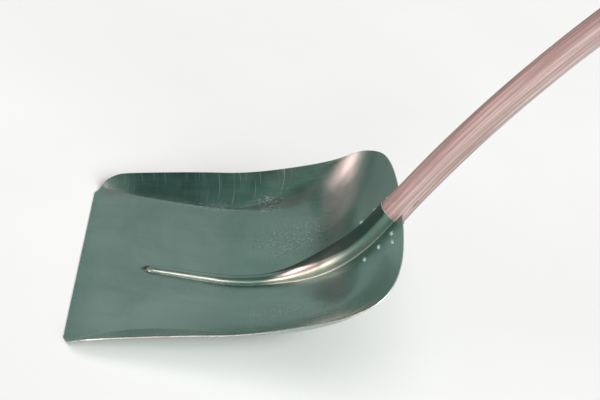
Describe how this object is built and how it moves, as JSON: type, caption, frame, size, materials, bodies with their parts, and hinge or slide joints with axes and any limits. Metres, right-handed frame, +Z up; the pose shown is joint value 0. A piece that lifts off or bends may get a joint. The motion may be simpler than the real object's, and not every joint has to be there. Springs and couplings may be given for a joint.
{
  "type": "snow shovel",
  "caption": "Pressed sheet-steel scoop shovel with square mouth, raised sides, ribbed floor and a bent round wooden handle riveted in a socket.",
  "frame": {"origin": "centre of the whole shovel's bounding box in plan, at the level of the lowest point of the blade's underside", "axes": "+X from the blade's cutting edge towards the handle's free end, +Z up out of the scoop, Y across the blade; the XZ plane is the mirror plane"},
  "size_m": [1.1288, 0.3726, 1.1372],
  "materials": {
    "blade_steel": "dark green-grey lacquered sheet steel, satin, scuffed",
    "strap_steel": "dark green-grey lacquered sheet steel, satin",
    "handle_wood": "bare sanded ash, fine long grain",
    "rivet_steel": "worn steel rivet heads",
    "screw_steel": "plain round-head steel screw"
  },
  "bodies": {
    "root": {"blade": "blade_steel", "socket_strap": "strap_steel", "handle": "handle_wood", "handle_screw": "screw_steel", "rivet_left_1": "rivet_steel", "rivet_left_2": "rivet_steel", "rivet_left_3": "rivet_steel", "rivet_right_1": "rivet_steel", "rivet_right_2": "rivet_steel", "rivet_right_3": "rivet_steel", "rivet_right_4": "rivet_steel"}
  },
  "joints": []
}
